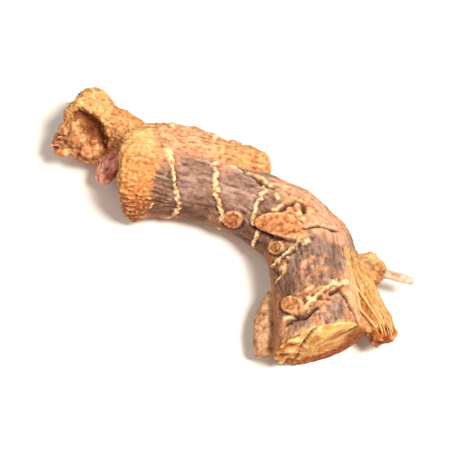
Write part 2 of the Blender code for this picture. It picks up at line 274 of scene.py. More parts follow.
class Finger:
    """A swept body through its stations, read by the distance along it and the angle round it."""

    SAMPLES = 240
    # A pointed tip counts as this thick, so that what is far from it stays far
    THINNEST = 0.3

    def __init__(self, stations, start=0.0, end=0.0):
        last = len(stations) - 1
        rows = []
        for t in np.linspace(0, last, self.SAMPLES):
            i = min(int(t), last - 1)
            u = t - i
            near = [stations[min(max(i + k, 0), last)] for k in (-1, 0, 1, 2)]
            weights = (
                -u + 2 * u**2 - u**3,
                2 - 5 * u**2 + 3 * u**3,
                u + 4 * u**2 - 3 * u**3,
                -(u**2) + u**3,
            )
            rows.append(0.5 * np.dot(weights, near))
        curve = np.array(rows)
        onwards = np.gradient(curve[:, :3], axis=0)
        onwards /= np.linalg.norm(onwards, axis=1)[:, None]
        side = np.cross((0, 0, 1), onwards)
        side /= np.linalg.norm(side, axis=1)[:, None]
        self.reach = np.append(0, np.cumsum(np.linalg.norm(np.diff(curve[:, :3], axis=0), axis=1)))
        self.length = self.reach[-1]
        self.table = np.hstack([curve[:, :3], side, np.cross(onwards, side), onwards, curve[:, 3:]])
        self.start = start
        self.end = end
        self.tree = kdtree.KDTree(len(curve))
        for i, row in enumerate(curve):
            self.tree.insert(row[:3], i)
        self.tree.balance()

    def at(self, along):
        """Its centre, side, upward and onward directions, and its half widths, at these places."""
        along = np.clip(along, 0, self.length)
        table = np.stack([np.interp(along, self.reach, column) for column in self.table.T], axis=-1)
        half = table[..., 12:].copy()
        for near, over in ((along, self.start), (self.length - along, self.end)):
            if over:
                half *= np.sqrt(1 - (1 - np.clip(near / over, 0, 1)) ** 2)[..., None]
        return table[..., :3], table[..., 3:6], table[..., 6:9], table[..., 9:12], half

    def skin(self, along, angle, lift=0.0):
        """The points of its surface there, lifted off it."""
        centre, side, upwards, _, half = self.at(along)
        angle = np.radians(angle)[..., None]
        across = side * np.cos(angle) * (half[..., :1] + lift)
        return centre + across + upwards * np.sin(angle) * (half[..., 1:] + lift)

    def locate(self, points):
        """How far along and at which angle the points lie, and how far outside the surface."""
        nearest = np.array([self.tree.find(p)[1] for p in points])
        row = self.table[nearest]
        along = self.reach[nearest] + np.sum((points - row[:, :3]) * row[:, 9:12], axis=1)
        centre, side, upwards, onwards, half = self.at(along)
        half = np.maximum(half, self.THINNEST)
        off = points - centre
        a = np.sum(off * side, axis=1) / half[:, 0]
        b = np.sum(off * upwards, axis=1) / half[:, 1]
        beyond = np.abs(np.sum(off * onwards, axis=1))
        gap = (np.hypot(a, b) - 1) * half.mean(axis=1)
        outside = np.hypot(np.maximum(gap, 0), beyond) + np.minimum(gap, 0)
        return along, np.degrees(np.arctan2(b, a)) % 360, outside


def step(x, low, high):
    """Rises smoothly from 0 to 1 as x goes from low to high."""
    t = np.clip((x - low) / (high - low), 0, 1)
    return t * t * (3 - 2 * t)


def field(points, size, seed=0.0):
    """Smooth noise from about -1 to 1 at the points, with features of this size, in mm, each way."""
    shifted = points / np.broadcast_to(size, 3) + seed
    return np.array([noise.noise(p) for p in shifted])


def clumps(points, size, seed=0.0):
    """Rounded clumps from 0 to about 1, with sharp gaps between them, and finer ones on them."""
    shifted = points / size + seed
    return np.array([noise.turbulence(p, 3, True) for p in shifted])


def crease(values, width):
    """1 on the lines where the values cross zero, falling to 0 within this much of them."""
    return np.clip(1 - np.abs(values) / width, 0, 1)


def turned(off, turn):
    """The offset in a frame turned by the angle."""
    c, s = math.cos(math.radians(turn)), math.sin(math.radians(turn))
    return off[0] * c + off[1] * s, off[1] * c - off[0] * s


def round_by(angle, middle):
    """The signed difference between two angles."""
    return (angle - middle + 180) % 360 - 180


# Meshes


def finish(bm, name, smooth=True):
    """Turns a mesh in mm into an object in metres."""
    bmesh.ops.scale(bm, vec=(MM, MM, MM), verts=bm.verts)
    bmesh.ops.recalc_face_normals(bm, faces=bm.faces)
    for face in bm.faces:
        face.smooth = smooth
    mesh = bpy.data.meshes.new(name)
    bm.to_mesh(mesh)
    bm.free()
    obj = bpy.data.objects.new(name, mesh)
    bpy.context.scene.collection.objects.link(obj)
    return obj


def sweep(bm, finger, places, sides, lift=None):
    """Adds a closed tube along the finger: a grid rolled round it, its ends filled."""
    made = bmesh.ops.create_grid(bm, x_segments=len(places) - 1, y_segments=sides, size=0.5)["verts"]
    grid = np.array([v.co for v in made])
    along = np.asarray(places)[np.rint((grid[:, 0] + 0.5) * (len(places) - 1)).astype(int)]
    angle = (grid[:, 1] + 0.5) * 360
    for v, co in zip(made, finger.skin(along, angle, lift(along, angle)[:, None] if lift else 0.0)):
        v.co = co
    bmesh.ops.remove_doubles(bm, verts=made, dist=1e-5)
    ends = [e for e in bm.edges if e.is_boundary]
    bmesh.ops.holes_fill(bm, edges=ends)


def swept(name, finger, spacing, sides):
    """An object of one finger."""
    bm = bmesh.new()
    inner = np.linspace(0.02, finger.length - 0.02, max(6, round(finger.length / spacing)))
    sweep(bm, finger, inner, sides)
    return finish(bm, name)


def ball(name, centre, half_sizes, axes, rough=0.13, detail=5):
    """A closed uneven ball, its half sizes along these axes."""
    bm = bmesh.new()
    bmesh.ops.create_icosphere(bm, subdivisions=detail, radius=1.0)
    for v in bm.verts:
        grown = 1 + rough * noise.noise(v.co * 2.3 + Vector(centre))
        v.co = Vector(a * b for a, b in zip(v.co * grown, half_sizes))
    bmesh.ops.transform(bm, matrix=Matrix.Translation(centre) @ axes.to_4x4(), verts=bm.verts)
    return finish(bm, name)


# The axes of the stem base's mouth: across it, along it and out of it
MOUTH = Matrix.Rotation(math.radians(MOUTH_TURN), 3, "Z")
MOUTH = MOUTH @ Matrix.Rotation(math.radians(90 - MOUTH_RISE), 3, "X")


def at_mouth(place):
    """The point at a place given along the mouth's axes."""
    return Vector(KNOB_AT) + MOUTH @ Vector(place[:3])


def lump(name, place, rough=0.1, slant=0.0, detail=4):
    """An uneven ball along the mouth's axes, turned in its plane by the slant."""
    axes = MOUTH @ Matrix.Rotation(math.radians(slant), 3, "Z")
    return ball(name, at_mouth(place), place[3:], axes, rough, detail)


def apply_modifier(obj, kind, **settings):
    """Adds a modifier with these settings and applies it."""
    modifier = obj.modifiers.new(kind, kind)
    for name, value in settings.items():
        setattr(modifier, name, value)
    with bpy.context.temp_override(object=obj):
        bpy.ops.object.modifier_apply(modifier=modifier.name)


def boolean(obj, operation, other):
    """Applies a Boolean with another object, which is then removed."""
    apply_modifier(obj, "BOOLEAN", operation=operation, solver="EXACT", object=other)
    bpy.data.objects.remove(other)


def cut_flat(obj, at, faces):
    """Cuts off what lies beyond the plane, and closes the cut."""
    bm = bmesh.new()
    bm.from_mesh(obj.data)
    geometry = bm.verts[:] + bm.edges[:] + bm.faces[:]
    bmesh.ops.bisect_plane(bm, geom=geometry, plane_co=Vector(at) * MM, plane_no=faces, clear_outer=True)
    bmesh.ops.holes_fill(bm, edges=bm.edges)
    bm.to_mesh(obj.data)
    bm.free()


# The body

main = Finger(MAIN_FINGER, start=1.2)
back = Finger(BACK_FINGER, start=2.0, end=2.6)
neck = Finger(NECK)
bud = Finger(BUD, end=1.5)
stub = Finger(ROOT_STUB, end=0.8)
shoot = Finger(SHOOT_BASE, end=1.0)

body = swept("rhizome_skin", main, 0.6, 96)
cut_flat(body, CUT_AT, CUT_FACES)
knob = lump("knob", KNOB, 0.13)
boolean(knob, "UNION", swept("neck", neck, 0.8, 48))
boolean(knob, "DIFFERENCE", lump("hollow", HOLLOW, 0.1, HOLLOW_SLANT))
grown = [
    knob,
    lump("peak", PEAK),
    lump("lobe", LOBE),
    *[lump("stem fibre end", place, 0.25) for place in FIBRE_ENDS],
    swept("back finger", back, 0.6, 64),
    swept("bud", bud, 0.5, 32),
    swept("stub", stub, 0.5, 40),
    swept("shoot base", shoot, 0.5, 40),
    ball("swelling", SWELLING_AT, SWELLING_SIZES, MOUTH, 0.2),
]
with bpy.context.temp_override(active_object=body, selected_editable_objects=[body, *grown]):
    bpy.ops.object.join()
apply_modifier(body, "REMESH", mode="VOXEL", voxel_size=VOXEL * MM, use_smooth_shade=True)
apply_modifier(body, "SMOOTH", factor=0.5, iterations=3)

count = len(body.data.vertices)
points = np.empty(count * 3)
normals = np.empty(count * 3)
body.data.vertices.foreach_get("co", points)
body.data.vertices.foreach_get("normal", normals)
points = points.reshape(-1, 3) / MM
normals = normals.reshape(-1, 3)


# Where each point lies


def ball_gap(centre, half_sizes):
    """How far outside the ball the points lie."""
    local = (points - np.array(centre)) @ np.array(MOUTH) / np.array(half_sizes)
    return (np.linalg.norm(local, axis=1) - 1) * min(half_sizes)


def lump_gaps(places):
    """How far outside each of the lumps the points lie."""
    return np.stack([ball_gap(at_mouth(place), place[3:]) for place in places])


fingers = {"main": main, "back": back, "neck": neck, "bud": bud, "stub": stub, "shoot": shoot}
places = {name: finger.locate(points) for name, finger in fingers.items()}
gaps = {name: place[2] for name, place in places.items()}
gaps["knob"] = np.minimum(*lump_gaps([KNOB, PEAK]))
gaps["swelling"] = ball_gap(SWELLING_AT, SWELLING_SIZES)
stem_gaps = np.sort(lump_gaps([LOBE, *FIBRE_ENDS]), axis=0)
gaps["stem"] = stem_gaps[0]
closeness = {name: np.exp(-np.maximum(gap, 0) / 0.35) for name, gap in gaps.items()}
total = sum(closeness.values()) + 1e-9
on = {name: value / total for name, value in closeness.items()}

# The grain follows each finger: two directions across it, and one along it
grain = points.copy()
nearest = np.argmin(np.stack([gaps[name] for name in fingers]), axis=0)
for i, (name, finger) in enumerate(fingers.items()):
    along, angle, _ = places[name]
    half = finger.at(along)[4]
    curl = np.radians(angle)
    here = np.stack([half[:, 0] * np.cos(curl), half[:, 1] * np.sin(curl), along + 40 * i], axis=1)
    own = nearest == i
    grain[own] = here[own]
along, angle, _ = places["main"]
main_radius = main.at(along)[4].mean(axis=1)

# The relief, in mm above the smooth skin, and the marks that the skin's colours go by

waver = field(points, 5.0, 3) * 0.7
warped = grain + np.stack([waver, -waver, 2 * waver], axis=1)
lumps = field(points, 5.5, 5)
grit = field(points, 1.1, 51)
fine_grit = field(points, 0.6, 67)
rough = field(points, 2.4, 19)
crumble = 0.4 * rough + 0.2 * (clumps(points, 1.6, 29) - 0.45) + 0.1 * grit + 0.35 * fine_grit
marks = defaultdict(lambda: np.zeros(count))


def mark(name, amount):
    """Marks the points with this amount, where it is more than what they have."""
    marks[name] = np.maximum(marks[name], amount)


def clear(names, amount):
    """Takes this share of the marks away."""
    for name in names:
        marks[name] = marks[name] * (1 - amount)


def in_patch(patch):
    """How strongly the points lie in the patch of the main finger."""
    length_off = (along - patch.along) / patch.long
    round_off = round_by(angle, patch.round) / patch.wide
    return np.exp(-(length_off**2) - (round_off**2)) * on["main"]


def with_rings(relief, name, rings):
    """Raises a finger's rings: thin beaded ridges, with the skin a little lower after each."""
    along, angle, _ = places[name]
    across = grain * (1, 1, 0)
    width = 0.55 + 0.3 * rough
    # Past its plain part a ring goes on only on the far side, at half its strength
    far_side = 0.5 * step(np.abs(round_by(angle, FAR_SIDE)), FAR_REACH + 10, FAR_REACH - 10)
    for i, ring in enumerate(rings):
        around, place = np.transpose(ring.path)
        place = np.interp(angle, around, place, period=360)
        off = along - place - 0.7 * field(across, 1.3, i) - 0.3 * field(across, 0.5, i)
        spread = abs(round_by(ring.last, ring.first)) / 2
        beyond = np.abs(round_by(angle, ring.first + spread))
        plain = (1 - (1 - far_side) * step(beyond, spread, spread + 12)) * on[name] * (1 - cut)
        beads = 0.3 + 0.7 * step(field(grain, 0.55, 5 * i), -0.3, 0.15)
        crest = np.exp(-((off / width) ** 2)) * beads * plain
        relief = relief + ring.height * crest
        relief -= ring.drop * step(off, 0.1, 0.6) * np.exp(-np.maximum(off, 0) / 3) * plain
        relief -= 0.12 * np.exp(-(((np.abs(off) - 0.8) / 0.3) ** 2)) * plain
        mark("ring", crest)
        # A painted shadow just after each ring, where the skin drops
        shadow = 1.4 * ring.drop * plain * np.exp(-(((off - 0.8) / 0.3) ** 2))
        mark("deep", shadow * step(fine_grit, -0.4, 0.3))
    return relief


def with_scars(relief, name, scars):
    """Raises root scars: low discs with a pale rim, a dished middle and a painted shadow at one edge."""
    along, angle, _ = places[name]
    radius = fingers[name].at(along)[4].mean(axis=1)
    for scar in scars:
        u, v = turned((along - scar.along, np.radians(round_by(angle, scar.round)) * radius), scar.turn)
        r = np.hypot(u / scar.long, v / scar.wide) + 0.07 * grit
        disc = step(r, 1.08, 0.98) * on[name]
        band = 0.2 / scar.wide
        rim = np.exp(-(((r - 0.93) / band) ** 2)) * on[name]
        inner = np.exp(-(((r - 0.93 + 2.2 * band) / band) ** 2)) * on[name]
        below = 0.25 + 0.75 * step(v / scar.wide, -0.2, 0.7)
        own = 0.35 * lumps + scar.height * (1 - 0.5 * step(r, 0.95, 0.3)) + 0.1 * rim
        own += 0.25 * grit + 0.25 * fine_grit - 0.15 * crease(r - 0.55, 0.15)
        relief = relief * (1 - disc) + own * disc
        around = np.exp(-(((r - 1.0 - 1.8 * band) / (1.5 * band)) ** 2)) * on[name]
        relief -= 0.3 * around * below
        clear(("ring", "deep", "stain"), disc)
        # Painted shadow round the scar, strongest on the side away from the light
        mark("deep", 0.7 * around * below * step(fine_grit, -0.6, 0.2))
        mark("deep", 0.35 * inner * step(grit, -0.3, 0.3) + 0.35 * step(r, 0.25, 0.05) * on[name])
        mark("ring", 0.45 * rim * step(grit + fine_grit, -0.4, 0.4))
        mark("scar", disc * scar.tint)
        mark("yellow", disc * (1 - scar.tint))
        mark("deep", 0.7 * (1 - scar.tint) * step(r, 0.3, 0.1) * on[name])
    return relief


def line_distance(name, line):
    """How far the points lie from the line of points on the finger."""
    along, angle, _ = places[name]
    radius = np.maximum(fingers[name].at(along)[4].mean(axis=1), 1)
    nearest = np.full(count, 99.0)
    for (a, a_round), (b, b_round) in zip(line.points, line.points[1:]):
        start = np.stack([along - a, np.radians(round_by(angle, a_round)) * radius])
        part = np.stack([np.full(count, b - a), math.radians(b_round - a_round) * radius])
        share = np.clip(np.sum(start * part, axis=0) / np.sum(part * part, axis=0), 0, 1)
        nearest = np.minimum(nearest, np.hypot(*(start - share * part)))
    return nearest + 0.25 * grit + 0.1 * fine_grit


# The knife cut, the cork, and the stem's torn inside, with painted shade in its hollow and slits
cut_depth = (points - np.array(CUT_AT)) @ (np.array(CUT_FACES) / np.linalg.norm(CUT_FACES))
cut = step(cut_depth, -0.5, -0.15) * (on["main"] > 0.3)
corky_end = step(along + 1.6 * lumps + 0.8 * grit, CORKY + 0.8, CORKY - 0.8) * on["main"]
cork = np.clip(corky_end + on["knob"] + 0.8 * on["neck"] + 0.8 * on["swelling"] + 0.2 * on["back"], 0, 1)
skin = (1 - cut) * (1 - cork)

# The hollow is painted darker the deeper it goes, as painted shade
lips = (points - np.array(at_mouth(HOLLOW))) @ np.array(MOUTH)
u, v = turned((lips[:, 0], lips[:, 1]), HOLLOW_SLANT)
from_middle = np.hypot(u / HOLLOW.half_across, v / HOLLOW.half_along)
inside = step(from_middle, 1.15, 0.85) * (on["knob"] + on["neck"] + 0.3 * on["stem"])
mark("hollow", np.clip(inside * step(-lips[:, 2], 0.2, 2.2), 0, 1))
# Painted shade in the slits between the stem's fibre ends
slits = np.exp(-(((stem_gaps[1] - stem_gaps[0]) / 0.2) ** 2)) * on["stem"]
mark("deep", 0.55 * slits)

folds = crease(field(warped, (2.4, 2.4, 10), 11), 0.25)
wrinkles = crease(field(warped, (1.15, 1.15, 7), 23), 0.25)
striae = crease(field(warped, (0.62, 0.62, 4), 37), 0.25)
relief = 0.45 * lumps + 0.12 * grit
wrinkled = 0.15 * folds + 0.2 * wrinkles * step(rough, -0.5, 0.3) + 0.12 * striae
relief -= skin * (wrinkled - 0.15 - 0.1 * fine_grit)
relief += on["back"] * (0.3 * rough + 0.15 * grit - 0.12 * wrinkles)
relief -= on["bud"] * (0.25 * wrinkles + 0.2 * folds - 0.1)
relief += cork * (crumble - 0.25 * striae - 0.15 * wrinkles + 0.1) + on["stem"] * 0.25 * grit - 0.5 * slits
relief += marks["hollow"] * 0.4 * field(points, 0.9, 77)

# The crusts, with painted shade between their crumbs
crumbs = field(points, 1.0, 91) + 0.7 * fine_grit
for patch in CRUSTS:
    crust = in_patch(patch)
    relief += crust * (0.15 + 0.3 * crumbs + 0.15 * grit)
    mark("ring", 0.6 * crust * step(crumbs, 0.0, 0.5))
    mark("scar", 0.6 * step(crust + 0.2 * grit, 0.3, 0.7))
    # Painted shade where the crumbs are low
    mark("deep", 0.6 * crust * step(crumbs, -0.25, -0.5))

# The stains, the spots between them, and a patch of painted shade
for stain in STAINS:
    u = (along - stain.along) / stain.long
    v = np.radians(round_by(angle, stain.round)) * main_radius / stain.wide
    amount = step(np.hypot(u, v) + 0.3 * lumps + 0.2 * grit, 1.25, 0.75)
    amount = amount * on["main"] * (1 - corky_end) * (1 - cut)
    mark("stain", amount)
    mark("grey", amount * stain.grey)
flecks = step(0.4 * grit + fine_grit - 0.4 * striae, -0.6, 0.3)
for patch in SPOTS:
    mark("spot", step(in_patch(patch) + 0.35 * grit, 0.3, 0.9) * flecks)
# A patch of painted shade, darker along the wrinkles
shade = in_patch(SHADE)
mark("deep", 0.5 * shade * step(striae + wrinkles, 0.2, 0.9) + 0.15 * shade)

# The rings, ridges, scars and cracks, with painted shade in the cracks
relief = with_rings(relief, "main", MAIN_RINGS)
relief = with_rings(relief, "back", BACK_RINGS)
for line in MAIN_RIDGES:
    crest = np.exp(-((line_distance("main", line) / line.width) ** 2)) * on["main"] * (1 - cut)
    relief += line.height * crest * (0.6 + 0.8 * grit)
    mark("ring", 0.9 * crest * step(grit, -0.4, 0.1))
relief = with_scars(relief, "main", MAIN_SCARS)
relief = with_scars(relief, "back", BACK_SCARS)
for line in MAIN_CRACKS:
    groove = np.exp(-((line_distance("main", line) / line.width) ** 2)) * on["main"]
    relief -= line.height * groove
    # Painted shade in the crack
    mark("deep", min(1, 2 * line.height) * groove)

# The cut is a plate streaked like a fan, and at its left it has torn off in lumps
face_side = np.cross((0, 0, 1), CUT_FACES)
face_side /= np.linalg.norm(face_side)
face_off = points - np.array(CUT_AT)
beside, above = face_off @ face_side, face_off[:, 2]
from_foot = (above - FAN_FOOT[1], beside - FAN_FOOT[0])
turn = np.arctan2(*from_foot) + 0.12 * lumps
out = np.hypot(*from_foot)
fan = field(np.stack([5 * np.cos(turn), 5 * np.sin(turn), 0.3 * out], axis=1), 1.0, 61) + 0.3 * grit
torn = step(beside + 0.5 * grit, TORN_FROM + 0.4, TORN_FROM - 0.4)
split_off = beside - TORN_FROM - 0.35 * above + 0.4 * grit
split = np.exp(-((split_off / 0.4) ** 2)) * step(above, -1.5, 1.0)
face = (1 - torn) * (0.1 * fan + 0.05 * grit) + torn * (1.3 * rough + 0.5 * grit) - 1.1 * split
relief = relief * (1 - cut) + cut * (face - 0.1)

# The swelling's hole, and the side shoot's broken end
hole_off = np.linalg.norm(points - np.array(SWELLING_HOLE), axis=1)
hole = np.exp(-((hole_off / HOLE_SIZE) ** 2)) * on["swelling"]
relief += on["swelling"] * 0.3 * rough - 1.2 * hole
relief += on["shoot"] * step(places["shoot"][0], 16.5, 18.0) * (0.7 * rough + 0.4 * grit - 0.2)

moved = points + normals * np.clip(relief, RELIEF_LOW, RELIEF_HIGH)[:, None]
moved[:, 2] = np.maximum(moved[:, 2], 0)
body.data.vertices.foreach_set("co", (moved * MM).ravel())

# Painted shade darkens the grooves, and painted highlights lighten the ridges
ends = np.empty(2 * len(body.data.edges), dtype=int)
body.data.edges.foreach_get("vertices", ends)
first, second = ends.reshape(-1, 2).T
degree = np.bincount(ends, minlength=count)
smoothed = relief
for _ in range(round(DIP_REACH / VOXEL)):
    neighbours = np.bincount(first, smoothed[second], count) + np.bincount(second, smoothed[first], count)
    smoothed = 0.4 * smoothed + 0.6 * neighbours / degree
# Painted shade in the dips and painted highlights on the crests of the relief
mark("painted_groove_shade", step(smoothed - relief, 0.02, 0.2))
mark("high", step(relief - smoothed, 0.03, 0.2))
clear(("high",), 0.8 * marks["grey"])
clear(("painted_groove_shade",), 0.5 * cork)

# The skin's pink side, painted shade on its side away from the light, and fine stripes along it in the
# stains
pink_side = np.exp(-((round_by(angle, PINK_SIDE) / 26) ** 2))
mark("pink", pink_side * step(along, 8, 11) * step(along, 50, 44) * on["main"])
# Painted shade on the side facing away from the light, and low down
mark("low", step(normals @ LIGHT_SIDE + 0.2 * lumps + 0.15 * grit, 0.85, 0.0) * step(points[:, 2], 15, 10))
clear(("low",), np.clip(on["bud"] + 0.6 * on["stub"] + 0.4 * (on["knob"] + on["neck"]), 0, 1))
mark("grained", 1 - 0.7 * on["back"])
stripes = step(field(warped, (0.8, 0.8, 6), 41), 0.05, 0.4)
mark("stripe", marks["stain"] * (1 - 0.6 * marks["grey"]) * stripes)

# The cork, darker at the back finger's end, with painted highlights on the knob's top and the cork end's
# top, and paler on the swelling
back_end = 0.7 * step(places["back"][0] + lumps, 13.0, 18.5) * on["back"]
mark("cork", np.maximum(cork, back_end) * (1 - cut))
mark("light", in_patch(CORK_END_HIGHLIGHT) + on["swelling"] + on["knob"] * (0.15 + 0.45 * step(points[:, 2], 8, 13)))

# The cut, dark and raw round its upper rim, with painted shade in the hollows of its torn part, in its split
# and in the swelling's hole
mark("cut", cut)
mark("fan", cut * step(fan, -0.4, 0.4))
rim = step(gaps["main"] + 0.8 * lumps + 0.6 * grit, -4.0, -2.6)
mark("raw_brown_and_painted_shade", cut * rim * step(np.abs(round_by(angle, CLEAN_RIM)), 85, 60))
# Painted shade in the hollows between the torn lumps
mark("raw_brown_and_painted_shade", cut * torn * step(rough, 0.1, -0.25))
# Painted shade in the cut's split and in the swelling's hole
mark("deep", 0.8 * cut * split + hole)

# The side shoot, the root stub, the swelling, the bud and the stem each have a colour of their own,
# with painted shade in the shoot's husk gap and where it meets the main finger
shoot_along, shoot_angle, _ = places["shoot"]
husk_gap = step(np.abs(round_by(shoot_angle, HUSK_GAP)), 18, 12)
husk_gap = husk_gap * step(shoot_along, 7, 9) * step(shoot_along, 17, 16)
beside_main = step(round_by(shoot_angle, SHOOT_INNER), -12, 0) * step(shoot_along, 3, 6)
broken = step(shoot_along + grit, 17.0, 18.0)
mark("yellow", on["shoot"])
# Painted shade in the husk's gap and where the shoot meets the main finger; its broken end is raw brown
mark("raw_brown_and_painted_shade", on["shoot"] * np.clip(husk_gap + beside_main + broken, 0, 1))
mark("raw_brown_and_painted_shade", 0.7 * on["swelling"] * step(points[:, 0] + grit, 27.0, 29.0))
mark("pale", on["stub"] + 0.3 * on["swelling"])
mark("bud", on["bud"])
mark("stem", on["stem"])
for name, values in marks.items():
    body.data.attributes.new(name, "FLOAT", "POINT").data.foreach_set("value", np.clip(values, 0, 1))
body.data.attributes.new("grain", "FLOAT_VECTOR", "POINT").data.foreach_set("vector", grain.ravel())

# The fibres of the side shoot


def clear_of_main(path):
    """The path, lifted onto the main finger's skin where it would run under it."""
    along, angle, gap = main.locate(path)
    return np.where(gap[:, None] < 0.1, main.skin(along, angle, 0.1), path)


def fibre(bm, tones, path, radius, tone, sides=6):
    """Adds one fibre along the path: a thin closed tube that narrows to a point."""
    tube = Finger([Station(*p, radius, radius) for p in path], end=3 * radius)
    before = len(bm.verts)
    sweep(bm, tube, np.linspace(0.01, tube.length - 0.01, 3 * len(path)), sides)
    tones.extend([tone] * (len(bm.verts) - before))


def along_shoot(points, lift):
    """A smooth path through points along and round the side shoot, lifted off it."""
    share = np.linspace(0, 1, 14)
    at_points = np.linspace(0, 1, len(points))
    reach, around = [np.interp(share, at_points, column) for column in np.transpose(points)]
    reach, around = [np.convolve(np.pad(c, 1, "edge"), (0.25, 0.5, 0.25), "valid") for c in (reach, around)]
    return clear_of_main(shoot.skin(reach, around, np.broadcast_to(lift, share.shape)[:, None]))


strands = bmesh.new()
tones = []
for strand in LONG_FIBRES:
    fibre(strands, tones, along_shoot(strand.points, strand.lift), strand.radius, strand.tone)
for i in range(FINE_FIBRES):
    around = -20 + 116 * i / FINE_FIBRES + DRAW.uniform(-3, 3)
    near, far = DRAW.uniform(0.1, 0.4), DRAW.uniform(0.8, 0.97)
    share = np.linspace(0, 1, 8)
    drift = DRAW.uniform(-12, 12) * share + DRAW.uniform(-5, 5) * np.sin(5 * share)
    reach = (near + (far - near) * share) * shoot.length
    lift = DRAW.uniform(-0.08, 0.02) + DRAW.uniform(0.0, 0.3) * share**4
    path = clear_of_main(shoot.skin(reach, around + drift, lift[:, None]))
    radius = DRAW.uniform(0.1, 0.22)
    fibre(strands, tones, path, radius, DRAW.uniform(0.35, 1))
fibre(strands, tones, np.array(KNOB_HAIR), 0.07, 0.3, 5)
strands = finish(strands, "shoot_fibres")
strands.data.attributes.new("tone", "FLOAT", "POINT").data.foreach_set("value", tones)

# The root tail


def unevenness(along, angle):
    """How far the tail's skin stands out there."""
    return 0.05 * np.sin(1.7 * along) + 0.05 * np.cos(np.radians(3 * angle) + 0.5 * along)


tail_finger = Finger(ROOT_TAIL, end=0.5)
tail = bmesh.new()
sweep(tail, tail_finger, np.linspace(0.02, tail_finger.length - 0.02, 60), 16, unevenness)
tail = finish(tail, "root_tail")

# Materials


def srgb(code):
    """A linear colour from a hex code."""
    values = [int(code[i : i + 2], 16) / 255 for i in (1, 3, 5)]
    return (*[v / 12.92 if v <= 0.04045 else ((v + 0.055) / 1.055) ** 2.4 for v in values], 1)


def add(tree, kind, inputs=(), **settings):
    """Adds a node with these settings. An input takes a value, or a link where it is given a socket."""
    new = tree.nodes.new(kind)
    for name, value in settings.items():
        setattr(new, name, value)
    for key, value in dict(inputs).items():
        if isinstance(value, bpy.types.NodeSocket):
            tree.links.new(value, new.inputs[key])
        else:
            new.inputs[key].default_value = value
    return new


def new_material(name):
    """A material with only its shader and output."""
    material = bpy.data.materials.new(name)
    material.use_nodes = True
    return material, material.node_tree, material.node_tree.nodes["Principled BSDF"]


# The numbers of the Mix node's sockets for colours
FACTOR = 0
COLOUR_A = 6
COLOUR_B = 7
COLOUR = 2


def layer(under, over, *strengths, blend="MIX"):
    """Lays a colour over another in the material being made, as strongly as these multiplied.

    A strength is a socket or a number. It can also be a socket with the two values between which
    the strength goes from 0 to 1, or from and to two strengths that come after them.
    """
    together = None
    for strength in strengths:
        if isinstance(strength, tuple):
            strength = add(tree, "ShaderNodeMapRange", enumerate(strength)).outputs[0]
        if together is None:
            together = strength
        else:
            product = add(tree, "ShaderNodeMath", {0: together, 1: strength}, operation="MULTIPLY")
            together = product.outputs[0]
    inputs = {FACTOR: together, COLOUR_A: under, COLOUR_B: over}
    return add(tree, "ShaderNodeMix", inputs, data_type="RGBA", blend_type=blend).outputs[COLOUR]


# The patterns' sizes in mm: streaks across and along the grain, blotches and specks
STREAK_SIZES = (0.7, 0.7, 3.5)
BLOTCH_SIZE = 4.5
SPECK_SIZE = 1.0
FIBRE_SPECK_SIZE = 0.8
ROOT_SPECK_SIZE = 1.2
# How far the streaks and specks stand up, in metres
BUMP = 0.00025

# The parts with a colour of their own: their mark, the specks' values that it goes between, and the
# colours in and on the specks
PART_COLOURS = [
    ("stem", 0.38, 0.6, "#d88549", "#ffc58b"),
    ("pale", 0.38, 0.62, "#98683f", "#deb086"),
    ("yellow", 0.38, 0.62, "#ae7034", "#e0b06c"),
    ("scar", 0.35, 0.6, "#c06c38", "#eda971"),
    ("bud", 0.38, 0.62, "#dc7f68", "#ffc4b2"),
]

# Dried skin: dull tan and orange, purplish between the rings, cream on rings and ridges, with painted
# highlights on ridges and painted shade in grooves
rhizome_skin, tree, shader = new_material("dried rhizome")
marks_of = {name: add(tree, "ShaderNodeAttribute", attribute_name=name).outputs["Fac"] for name in marks}
grain_at = add(tree, "ShaderNodeAttribute", attribute_name="grain").outputs["Vector"]
place = add(tree, "ShaderNodeTexCoord").outputs["Object"]
finer = [1 / size for size in STREAK_SIZES]
streak_at = add(tree, "ShaderNodeVectorMath", {0: grain_at, 1: finer}, operation="MULTIPLY").outputs[0]
streaks = {"Vector": streak_at, "Scale": 1.0, "Detail": 5.0, "Roughness": 0.65}
blotches = {"Vector": place, "Scale": 1 / (BLOTCH_SIZE * MM), "Detail": 4.0, "Roughness": 0.6}
specks = {"Vector": place, "Scale": 1 / (SPECK_SIZE * MM), "Detail": 4.0, "Roughness": 0.7}
streak = add(tree, "ShaderNodeTexNoise", streaks).outputs["Fac"]
blotch = add(tree, "ShaderNodeTexNoise", blotches).outputs["Fac"]
speck = add(tree, "ShaderNodeTexNoise", specks).outputs["Fac"]

# The clean skin, and its pink side
colour = layer(srgb("#bc8159"), srgb("#e0b087"), (blotch, 0.38, 0.62))
colour = layer(colour, srgb("#b06e44"), (speck, 0.38, 0.52, 0.3, 0.0))
colour = layer(colour, srgb("#f3ca9c"), (speck, 0.55, 0.68, 0.0, 0.6))
colour = layer(colour, srgb("#e0a48b"), marks_of["pink"], (streak, 0.35, 0.6, 0.2, 0.9))

# The stains, purplish to grey, with pale stripes and orange spots
mottle = [(speck, 0.35, 0.6, 0.6, 1.0), (streak, 0.36, 0.6, 0.5, 1.0), (blotch, 0.35, 0.6, 0.65, 1.0)]
purples = layer(srgb("#4e2f24"), srgb("#be978a"), *mottle)
greys = layer(srgb("#402618"), srgb("#977866"), *mottle)
stains = layer(purples, greys, marks_of["grey"])
colour = layer(colour, stains, marks_of["stain"], (blotch, 0.35, 0.5, 0.7, 1.0))
colour = layer(colour, srgb("#e0b8a4"), marks_of["stripe"], 0.45)
spots = layer(srgb("#bd7c52"), srgb("#eab184"), (speck, 0.4, 0.58))
colour = layer(colour, spots, marks_of["spot"], 0.75)

